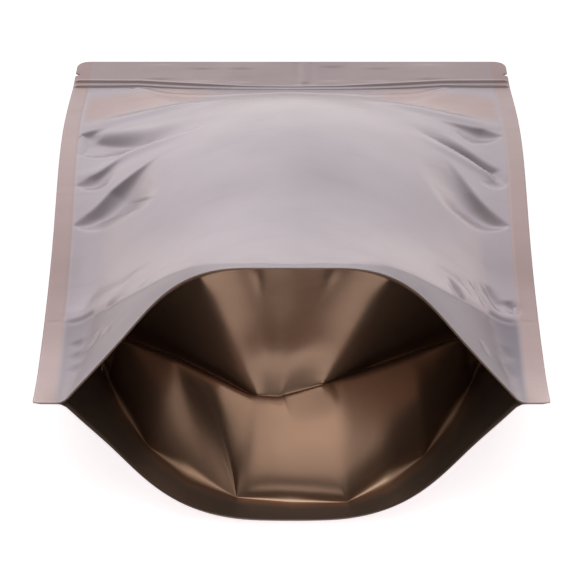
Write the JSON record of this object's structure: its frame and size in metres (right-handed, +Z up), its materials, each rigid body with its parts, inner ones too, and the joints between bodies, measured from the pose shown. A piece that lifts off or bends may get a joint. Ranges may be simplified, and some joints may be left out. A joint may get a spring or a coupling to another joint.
{
  "type": "stand-up pouch",
  "caption": "Empty matt bronze stand-up pouch of metallised film, zip shut, lying on its back with the bottom gusset pulled open into a recess",
  "frame": {"origin": "on the floor under the middle of the pouch's bounding box", "axes": "+Y along the pouch from its gusseted bottom to its zip end, +Z up through the front panel, +X across it"},
  "size_m": [0.23, 0.35, 0.1078],
  "materials": {
    "film": "matt metallised film, bronze"
  },
  "bodies": {
    "root": {"pouch": "film"}
  },
  "joints": []
}
